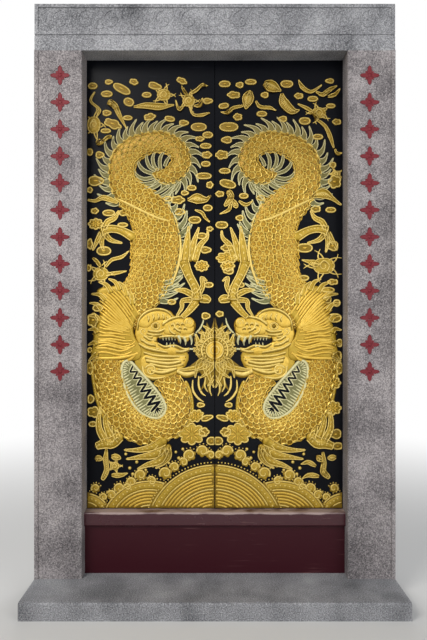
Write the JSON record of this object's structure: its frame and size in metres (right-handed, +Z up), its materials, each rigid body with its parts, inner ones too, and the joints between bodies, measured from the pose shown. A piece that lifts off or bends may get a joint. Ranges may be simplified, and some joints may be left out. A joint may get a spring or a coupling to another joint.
{
  "type": "carved temple door",
  "caption": "Pair of tall black lacquered leaves with gilded dragon relief, hung on timber pivots in a granite frame with a high threshold and a sliding bar.",
  "frame": {"origin": "centre of the doorway's width, on the underside of the doorstep slab, in the plane of the jambs' rebate that the leaves close in", "axes": "+Z up, +X to the right seen from outside, +Y from outside to inside"},
  "size_m": [2.17, 0.72, 3.56],
  "materials": {
    "granite": "bush-hammered, matt",
    "red_lacquer": "dark red lacquer, glossy and worn at the arrises",
    "black_lacquer": "black lacquer, semi-gloss",
    "gilding": "gilded carved wood, rubbed on the high places",
    "bare_timber": "oiled timber",
    "forged_iron": "forged, dark"
  },
  "bodies": {
    "frame": {"head_cramps": "forged_iron", "head_socket_beam": "bare_timber", "left_jamb_stone": "granite", "left_pillow_stone": "granite", "lintel_stone": "granite", "pivot_cups": "forged_iron", "right_jamb_stone": "granite", "right_pillow_stone": "granite", "sill_stone": "granite", "threshold_board": "red_lacquer", "threshold_cap": "red_lacquer"},
    "left_leaf": {"left_back_ledges": "bare_timber", "left_bar_keepers": "bare_timber", "left_board_1": "black_lacquer", "left_board_2": "black_lacquer", "left_board_3": "black_lacquer", "left_clouds": "gilding", "left_dragon_belly_crest": "gilding", "left_dragon_body": "gilding", "left_dragon_claws": "gilding", "left_dragon_crest": "gilding", "left_dragon_head": "gilding", "left_dragon_loop": "gilding", "left_dragon_mane": "gilding", "left_foam": "gilding", "left_meeting_stile": "black_lacquer", "left_pearl_half": "gilding", "left_pivot_shoe": "forged_iron", "left_pivot_stile": "black_lacquer", "left_sea_creatures": "gilding", "left_top_ferrule": "forged_iron", "left_waves": "gilding"},
    "right_leaf": {"right_back_ledges": "bare_timber", "right_bar_keeper": "bare_timber", "right_board_1": "black_lacquer", "right_board_2": "black_lacquer", "right_board_3": "black_lacquer", "right_clouds": "gilding", "right_dragon_belly_crest": "gilding", "right_dragon_body": "gilding", "right_dragon_claws": "gilding", "right_dragon_crest": "gilding", "right_dragon_head": "gilding", "right_dragon_loop": "gilding", "right_dragon_mane": "gilding", "right_foam": "gilding", "right_meeting_stile": "black_lacquer", "right_pearl_half": "gilding", "right_pivot_shoe": "forged_iron", "right_pivot_stile": "black_lacquer", "right_sea_creatures": "gilding", "right_top_ferrule": "forged_iron", "right_waves": "gilding"},
    "bar": {"bar": "bare_timber"}
  },
  "joints": [
    {"name": "left_leaf_pivot", "type": "hinge", "parent": "frame", "child": "left_leaf", "pos_m": [-0.84, 0.038, 0.339], "axis": [0, 0, 1], "range_deg": [0, 90]},
    {"name": "right_leaf_pivot", "type": "hinge", "parent": "frame", "child": "right_leaf", "pos_m": [0.84, 0.038, 0.339], "axis": [0, 0, -1], "range_deg": [0, 90]},
    {"name": "bar_slide", "type": "slide", "parent": "left_leaf", "child": "bar", "axis": [1, 0, 0], "range_m": [0, 0.2]}
  ]
}
